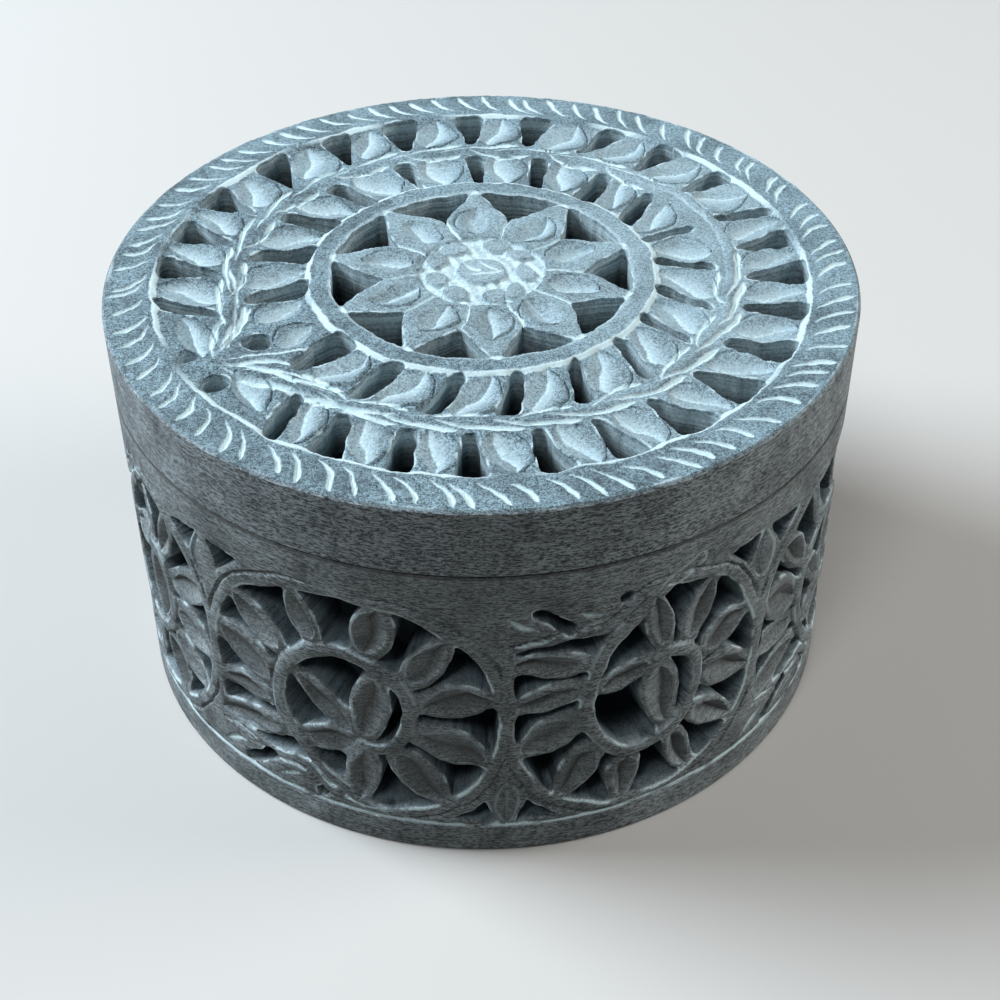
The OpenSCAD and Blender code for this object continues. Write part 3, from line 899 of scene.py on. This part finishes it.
def shell_between(front, back, tris, holes, powder, side):
    """Two faces and the hole walls between them. Returns the shell and both faces' point numbers."""
    shell = Shell()
    thick = np.linalg.norm(back - front, axis=1)
    top = shell.place(front, powder, 0, side)
    under = shell.place(back, 0, thick)
    shell.back = under
    shell.angles = np.arctan2(front[:, 1], front[:, 0])
    shell.faces += [top[tris], under[tris][:, ::-1]]
    rim, edges = numbered(holes)
    last = top[rim]
    way = (back - front)[rim] / thick[rim][:, None]
    ahead, behind = np.zeros(len(rim), int), np.zeros(len(rim), int)
    ahead[edges[:, 0]] = edges[:, 1]
    behind[edges[:, 1]] = edges[:, 0]
    wall = front[rim]
    for deep in HOLE_RINGS:
        for _ in range(WALL_SMOOTH):
            wall = (wall[behind] + 2 * wall + wall[ahead]) / 4
        at = np.minimum(deep, thick[rim] * HOLE_MOST)
        rough = HOLE_ROUGH * ripple(front[rim] + way * deep, size=2.2, seed=61)
        rough = rough[:, None] * np.cross(way, HOLE_ACROSS)
        ring = shell.place(wall + way * at[:, None] + rough, powder=0.15, deep=at)
        shell.join(last, ring, edges)
        last = ring
    shell.back_rim = under[rim]
    shell.join(last, under[rim], edges)
    return shell, top, under


def carry(shell, start, loop, profile, held, deep, side):
    """Carries a round edge along a turned profile, with its first rings held from thinning."""
    rim, edges = numbered(loop)
    last = start[rim]
    shell.turned.append(last)
    for i, (r, z) in enumerate(profile):
        ids = shell.place(ring_at(r, z, shell.angles[rim]), 0, deep, side)
        shell.turned += [ids] if i < held else []
        shell.join(last, ids, edges)
        last = ids
    return rim, edges, last


def turn_profile(shell, start, end, loop, profile):
    """Carries a round edge of the front face along a turned profile to the back face's edge."""
    rim, edges, last = carry(shell, start, loop, profile, len(profile), deep=0, side=1)
    shell.turned.append(end[rim])
    shell.join(last, end[rim], edges)


def cap(shell, start, loop, z, radii, deep):
    """Closes a round edge with a disc."""
    _, edges, last = carry(shell, start, loop, [(r, z) for r in radii], 1, deep, side=0)
    middle = shell.place(np.array([[0.0, 0.0, z]]), 0, deep)
    a, b = last[edges].T
    shell.faces.append(np.stack([a, np.repeat(middle, len(edges)), b], 1))


SHARP = 32
LINE_EDGE = 0.3
BACK_KEPT = 0.15


def placed(name, data):
    """A new object in the scene."""
    made = bpy.data.objects.new(name, data)
    bpy.context.scene.collection.objects.link(made)
    return made


def thinned(mesh, free, most):
    """The mesh with its free points merged until no more than so many triangles are left."""
    raw = placed("raw", mesh)
    raw.vertex_groups.clear()
    group = raw.vertex_groups.new(name="free")
    group.add(free.tolist(), 1, "REPLACE")
    thin = raw.modifiers.new("thin", "DECIMATE")
    thin.vertex_group = group.name
    thin.ratio = min(1, most / len(mesh.polygons))
    thin.use_collapse_triangulate = True
    made = bpy.data.meshes.new_from_object(raw.evaluated_get(bpy.context.evaluated_depsgraph_get()))
    bpy.data.objects.remove(raw)
    return made


def finished(name, shell):
    """The shell as an object, thinned where it is flat and smooth but for its edges."""
    faces = np.concatenate(shell.faces)
    tone = np.concatenate(shell.values)[:, 0]
    tone = np.where(tone < 0, tone / PAINTED_SHADE_SCALE, tone)[faces]
    held = np.zeros(shell.count, np.float32)
    held[faces[tone.max(1) - tone.min(1) > LINE_EDGE].ravel()] = 1
    held[np.concatenate(shell.turned)] = 1
    mesh = shell.mesh("raw")
    mesh.attributes.new("held", "FLOAT", "POINT").data.foreach_set("value", held)
    behind = np.isin(faces, shell.back).all(1).sum()
    flat = np.setdiff1d(shell.back[held[shell.back] == 0], shell.back_rim)
    mesh = thinned(mesh, flat, len(faces) - (1 - BACK_KEPT) * behind)
    held = np.zeros(len(mesh.vertices), np.float32)
    mesh.attributes["held"].data.foreach_get("value", held)
    mesh = thinned(mesh, np.flatnonzero(held < 0.5), MOST_TRIANGLES)
    mesh.attributes.remove(mesh.attributes["held"])
    mesh.name = name
    mesh.shade_smooth()
    mesh.set_sharp_from_angle(angle=math.radians(SHARP))
    return placed(name, mesh)


SEAM_BEVEL = 0.3
LIP_NEAR = 0.3
EDGE_NEAR = 0.01
TINY = 1e-6
LID_DEEPEST = -3
WALL_DEEPEST = -3.5
NO_STONE = -4
# Heights between which the wall's two faces lie level, and the least of its turning marks
BACK_LEVEL = (8, 42)
TURNED_LEAST = 0.25
DISC_RINGS = (0.75, 0.5, 0.25)
UP = np.array((0.0, 0.0, 1.0))


def stretched(x, start, end, to):
    """Values past start, spread so that end falls on another place."""
    past = start + (x - start) * (to - start) / (end - start)
    return np.where((x - start) * (end - start) > 0, past, x)


def make_lid():
    sheet = lid_sheet()
    grid_r = np.hypot(sheet.grid[..., 0], sheet.grid[..., 1])
    lip = BOX_R - EDGE_BEVEL
    sheet.inside = np.minimum(sheet.inside, lip - grid_r)
    height = np.maximum(sheet.height, LID_DEEPEST)
    front = np.concatenate([sheet.grid, TOP_Z + height[..., None]], -1)
    scale = (stretched(grid_r, CAVITY_R, lip, RECESS_R) / np.maximum(grid_r, TINY))[..., None]
    back = np.concatenate([sheet.grid * scale, np.full(grid_r.shape + (1,), RECESS_TOP)], -1)
    (front, back, powder), tris, border = cut_out(sheet, (front, back, sheet.powder))
    outer = np.hypot(*front[border].mean(1).T[:2]) > lip - LIP_NEAR
    rim = np.unique(border[outer])
    front[rim, :2] *= (lip / np.hypot(*front[rim].T[:2]))[:, None]
    shell, top, under = shell_between(front, back, tris, border[~outer], powder, 0)
    profile = [
        (BOX_R, TOP_Z - EDGE_BEVEL), (BOX_R, SEAM_Z + SEAM_BEVEL),
        (BOX_R - SEAM_BEVEL, SEAM_Z), (RECESS_R, SEAM_Z),
    ]
    turn_profile(shell, top, under, border[outer], profile)
    return finished("lid_carved", shell)


def make_body():
    sheet = wall_sheet()
    u, z = sheet.grid[..., 0], sheet.grid[..., 1]
    angle = u / BOX_R
    way = np.stack([np.sin(angle), -np.cos(angle), np.zeros_like(angle)], -1)
    height = np.where(sheet.height < NO_STONE, 0, np.maximum(sheet.height, WALL_DEEPEST))
    front = way * (BOX_R + height)[..., None] + z[..., None] * UP
    low, high = BACK_LEVEL
    back_z = stretched(stretched(z, low, EDGE_BEVEL, FLOOR_T), high, SEAM_Z, COLLAR_TOP)
    back = way * CAVITY_R + back_z[..., None] * UP
    turned = TURNED_LEAST + (1 - TURNED_LEAST) * ramp(height, low=-0.7, high=-0.15)
    carried, tris, border = cut_out(sheet, (front, back, sheet.tones(), turned), wrap=True)
    front, back, powder, turned = carried
    at_z = front[border].mean(1)[:, 2]
    bottom, top_edge = at_z < EDGE_BEVEL + EDGE_NEAR, at_z > SEAM_Z - EDGE_NEAR
    holes = border[~bottom & ~top_edge]
    shell, face, inner = shell_between(front, back, tris, holes, powder, turned)
    collar = [(COLLAR_R, SEAM_Z), (COLLAR_R, COLLAR_TOP)]
    turn_profile(shell, face, inner, border[top_edge], collar)
    foot = border[bottom]
    rim = BOX_R - EDGE_BEVEL
    cap(shell, face, foot, 0, [rim] + [rim * share for share in DISC_RINGS], 0)
    inside = [CAVITY_R * share for share in DISC_RINGS]
    cap(shell, inner, foot[:, ::-1], FLOOR_T, inside, WALL_T)
    return finished("body_carved", shell)


# Stone
class Nodes:
    """Short names for the nodes of one material."""

    def __init__(self, name):
        self.material = bpy.data.materials.new(name)
        self.material.use_nodes = True
        self.tree = self.material.node_tree
        self.shader = self.tree.nodes["Principled BSDF"]

    def new(self, kind, **values):
        node = self.tree.nodes.new("ShaderNode" + kind)
        for key, value in values.items():
            if hasattr(node, key):
                setattr(node, key, value)
            else:
                self.put(node.inputs[key], value)
        return node

    def put(self, socket, value):
        if isinstance(value, bpy.types.NodeSocket):
            self.tree.links.new(value, socket)
        else:
            socket.default_value = value

    def math(self, operation, a, b=0.0):
        node = self.new("Math", operation=operation)
        self.put(node.inputs[0], a)
        self.put(node.inputs[1], b)
        return node.outputs[0]

    def noise(self, place, scale, detail=3.0, rough=0.6):
        node = self.new("TexNoise", Scale=scale, Detail=detail, Roughness=rough, Vector=place)
        return node.outputs["Fac"]

    def stretch(self, place, scale):
        return self.new("Mapping", Vector=place, Scale=scale).outputs[0]

    def span(self, value, low, high, to_low=0.0, to_high=1.0):
        node = self.new("MapRange", interpolation_type="SMOOTHSTEP")
        for socket, item in zip(node.inputs, (value, low, high, to_low, to_high)):
            self.put(socket, item)
        return node.outputs[0]

    def mix(self, share, a, b, kind="RGBA"):
        return self.new("Mix", data_type=kind, Factor=share, A=a, B=b).outputs["Result"]

    def blend(self, share, a, b):
        return self.mix(share, a, b, "FLOAT")

    def scaled(self, colour, share):
        return self.new("VectorMath", operation="SCALE", Vector=colour, Scale=share).outputs[0]

    def value(self, name):
        return self.new("Attribute", attribute_name=name).outputs["Fac"]


POWDER_COLOUR = (0.67, 0.83, 0.85, 1)
PEPPER = (0.03, 0.04, 0.045, 1)
# Painted shade: the near black of the faces inside the box
INSIDE_SHADE = (0.035, 0.05, 0.06, 1)
# Painted shade: colour of the shade in the wall's leaf cuts and along the seam
PAINTED_SHADE = (0.075, 0.072, 0.066, 1)
# How far marks are drawn out across and up, then scale, detail and roughness of each kind
GRAINS = (1000, 1000, 1000)
RINGS = (300, 300, 6000)
LAYERS = (60, 60, 2600)
DASHES = (1400, 1400, 4600)
CLOUD = (0.14, 4)
COARSE = (1.5, 4, 0.75)
FLECK = (2.8, 3, 0.7)
FINE = (7, 2, 0.7)
SCRATCH = (1, 3, 0.75)
LAYER = (1, 2, 0.6)
DASH = (1, 4, 0.8)
# Shares of fine grain in specks, and the spread of tones on carved and on turned faces
TOP_SPECK = 0.55
SIDE_SPECK = 0.25
SPREAD = (0.13, 0.07)
MIDDLE = 0.5
# From what value to what value, and from what strength to what strength
CUT_STONE = (0.1, 0.9)
PATINA = (0.36, 0.6, 0.72, 1.12)
LIGHT = (0.42, 1.56)
SHADE = (0.8, 5, 1, 0.3)
# Painted shade: how far negative powder values turn to the shade colour
PAINTED_SHADE_SPAN = (-PAINTED_SHADE_SCALE, -0.02, 0.75, 0)
# Dark specks: more towards the front and left of the top, and towards the front of the sides
SPECK_LEAN = (("X", 0.6), ("Y", 0.8))
SPECK_CLOUD = (0.3, 0.7, -0.02, 0.02)
FRONT_CLOUD = (0.3, 0.7, -0.004, 0.004)
TOP_SPECKLING = (-0.015, 0.025, 0.9, 0.2)
FRONT_SPECKLING = (-0.048, -0.03, 1, 0.1)
PEPPERED = (0.43, 0.51, 1, 0)
# Painted shade: depth at which hole walls turn to the inside's near black
INSIDE_SHADE_SPAN = (4, 5.5, 0, 0.6)
FRESH_GRAIN = (0.36, 0.64, 0.88, 1.12)
POWDER_GRAIN = (0.36, 0.6, 0.8, 1.15)
POWDER_SPECKLED = (0, 0.9, 1, 0.75)
FRESH_CUT = (0.03, 0.45)
WHITE_CUT = (0.45, 0.85)
ROUGHNESS = (0.3, 0.7, 0.65, 0.88)


def tinted(colour):
    return (*colour, 1)


def stone(name, skin, side_skin, cut_skin_and_shade, fresh_skin, bedding, grit):
    """Dry stone: cloudy, grainy and scratched, paler where freshly cut, with powder in the cuts, more
    dark specks towards the front, and painted shade in cuts, holes and inside.
    """
    n = Nodes(name)
    place = n.new("TexCoord").outputs["Object"]
    grains = n.stretch(place, GRAINS)
    cloud, coarse, fleck, fine = (n.noise(grains, *kind) for kind in (CLOUD, COARSE, FLECK, FINE))
    scratch = n.noise(n.stretch(place, RINGS), *SCRATCH)
    layer = n.noise(n.stretch(place, LAYERS), *LAYER)
    dash = n.noise(n.stretch(place, DASHES), *DASH)
    side, depth, cuts = (n.value(key) for key in ("side", "deep", "powder"))
    deep = n.span(depth, *CUT_STONE)
    grain = n.blend(share=0.4, a=fleck, b=fine)
    bedded = n.blend(bedding, grain, layer)
    tone = n.blend(side, bedded, n.blend(share=0.6, a=scratch, b=dash))
    tone = n.blend(deep, tone, n.blend(share=0.5, a=layer, b=grain))
    patina = n.span(cloud, *PATINA)
    spread = n.blend(side, *SPREAD)
    ends = n.math("SUBTRACT", MIDDLE, spread), n.math("ADD", MIDDLE, spread)
    light = n.span(tone, *ends, *LIGHT)
    colour = n.mix(side, tinted(skin), tinted(side_skin))
    # Colour of the cut faces: the paler cut stone on the lid, a painted shade on the wall
    colour = n.mix(deep, colour, tinted(cut_skin_and_shade))
    colour = n.scaled(colour, n.math("MULTIPLY", patina, light))
    # Painted shade: darker down the hole walls
    colour = n.scaled(colour, n.span(depth, *SHADE))
    across = n.new("SeparateXYZ", Vector=place).outputs
    # More dark specks towards the front and left of the top and the front of the sides, none down the
    # holes
    lean = [n.math("MULTIPLY", across[axis], share) for axis, share in SPECK_LEAN]
    speckling = n.math("ADD", n.math("ADD", *lean), n.span(cloud, *SPECK_CLOUD))
    front = n.math("ADD", across["Y"], n.span(cloud, *FRONT_CLOUD))
    speckling = n.blend(side, n.span(speckling, *TOP_SPECKLING), n.span(front, *FRONT_SPECKLING))
    speckling = n.math("MULTIPLY", speckling, n.math("SUBTRACT", 1, deep))
    speck = n.blend(side, n.blend(TOP_SPECK, coarse, fine), n.blend(SIDE_SPECK, dash, fine))
    pepper = n.math("MULTIPLY", n.math("MULTIPLY", n.span(speck, *PEPPERED), speckling), grit)
    fresh = n.scaled(fresh_skin, n.span(grain, *FRESH_GRAIN))
    powder = n.math("MULTIPLY", cuts, n.span(grain, *POWDER_GRAIN))
    powder = n.math("MULTIPLY", powder, n.span(pepper, *POWDER_SPECKLED))
    # Painted shade, dark specks, painted shade inside the box, then fresh-cut tone and white powder
    # with its painted highlights
    for share, over in (
        (n.span(cuts, *PAINTED_SHADE_SPAN), PAINTED_SHADE), (pepper, PEPPER), (n.span(depth, *INSIDE_SHADE_SPAN), INSIDE_SHADE),
        (n.span(powder, *FRESH_CUT), fresh), (n.span(powder, *WHITE_CUT), POWDER_COLOUR),
    ):
        colour = n.mix(share, colour, over)
    n.put(n.shader.inputs["Base Color"], colour)
    n.put(n.shader.inputs["Roughness"], n.span(fleck, *ROUGHNESS))
    n.shader.inputs["Specular IOR Level"].default_value = 0.3
    bump_node = n.new("Bump", Strength=0.4, Distance=0.0002, Height=tone)
    n.put(n.shader.inputs["Normal"], bump_node.outputs[0])
    return n.material


# Studio
FOCAL = 1773.94
IMAGE = 1000
SENSOR = 36
ELEVATION = 39.95
ROLL = -0.0042
AIM = (483.55, 443.91)
DISTANCE = 5.1099


def make_camera():
    """Camera where the photograph was taken, found by fitting the box's outline."""
    el = math.radians(ELEVATION)
    forward = Vector((0, math.cos(el), -math.sin(el)))
    right = Vector((1, 0, 0))
    up = right.cross(forward)
    r = math.cos(ROLL) * right + math.sin(ROLL) * up
    u = math.cos(ROLL) * up - math.sin(ROLL) * right
    ray = forward + r * ((AIM[0] - IMAGE / 2) / FOCAL) - u * ((AIM[1] - IMAGE / 2) / FOCAL)
    place = Vector((0, 0, TOP_Z * MM / 2)) - ray * DISTANCE * BOX_R * MM
    camera = placed("camera", bpy.data.cameras.new("camera"))
    camera.data.sensor_width = SENSOR
    camera.data.lens = FOCAL / IMAGE * SENSOR
    turn = Matrix((r, u, -forward)).transposed()
    camera.matrix_world = Matrix.Translation(place) @ turn.to_4x4()
    bpy.context.scene.camera = camera


FLOOR_SIZE = 6
FLOOR_SEEN = (0.66, 0.64, 0.61, 1)
FLOOR_BOUNCE = (0.14, 0.125, 0.105, 1)
WORLD_COLOUR = (0.9, 0.95, 1, 1)
# Name, place, size, power and colour
LAMPS = [
    ("key", (-0.8, 0.22, 0.75), 0.6, 17.5, (0.81, 0.91, 1)),
    ("side", (0.8, 0.1, 0.4), 0.5, 4.4, (1, 0.98, 0.95)),
    ("front", (-0.25, -0.6, 1.05), 0.3, 2.7, (0.96, 0.99, 1)),
]


def make_floor():
    mesh = bpy.data.meshes.new("floor")
    half = FLOOR_SIZE / 2
    corners = [(-half, -half, 0), (half, -half, 0), (half, half, 0), (-half, half, 0)]
    mesh.from_pydata(corners, [], [(0, 1, 2, 3)])
    floor = placed("floor", mesh)
    n = Nodes("floor")
    path = n.new("LightPath").outputs
    mirrored = n.math("MAXIMUM", path["Is Glossy Ray"], path["Is Transmission Ray"])
    seen = n.math("MAXIMUM", path["Is Camera Ray"], mirrored)
    n.put(n.shader.inputs["Base Color"], n.mix(seen, FLOOR_BOUNCE, FLOOR_SEEN))
    n.shader.inputs["Roughness"].default_value = 0.9
    mesh.materials.append(n.material)


def make_light():
    world = bpy.data.worlds.new("studio")
    world.use_nodes = True
    background = world.node_tree.nodes["Background"]
    background.inputs["Color"].default_value = WORLD_COLOUR
    background.inputs["Strength"].default_value = 0.08
    bpy.context.scene.world = world
    for name, place, size, power, colour in LAMPS:
        lamp = bpy.data.lights.new(name, "AREA")
        lamp.shape = "DISK"
        lamp.size = size
        lamp.energy = power
        lamp.color = colour
        light = placed(name, lamp)
        light.location = place
        light.rotation_euler = (-Vector(place)).to_track_quat("-Z", "Y").to_euler()


WALL_SKIN = (0.22, 0.25, 0.258)

make_camera()
make_floor()
make_light()
bpy.context.scene.view_settings.view_transform = "Standard"

# The top's skin bluer than the side's: partly the powdery carved face, partly a painted tint of the
# bluish light on the top
lid_stone = stone(
    "lid_stone", skin=(0.22, 0.315, 0.36), side_skin=(0.25, 0.283, 0.297), cut_skin_and_shade=(0.34, 0.43, 0.46),
    fresh_skin=(0.425, 0.55, 0.6), bedding=0.0, grit=1.0,
)
# The wall's cut faces darker than its skin: painted shade in the holes
wall_stone = stone(
    "wall_stone", skin=WALL_SKIN, side_skin=WALL_SKIN, cut_skin_and_shade=(0.11, 0.15, 0.175),
    fresh_skin=(0.36, 0.43, 0.46), bedding=0.25, grit=0.5,
)
for piece, body, node, slot, material in (
    (make_lid(), "lid", "lid", "lid_stone", lid_stone),
    (make_body(), "body", "box_body", "wall_stone", wall_stone),
):
    piece.data.materials.append(material)
    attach(piece, body)
    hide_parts(node)
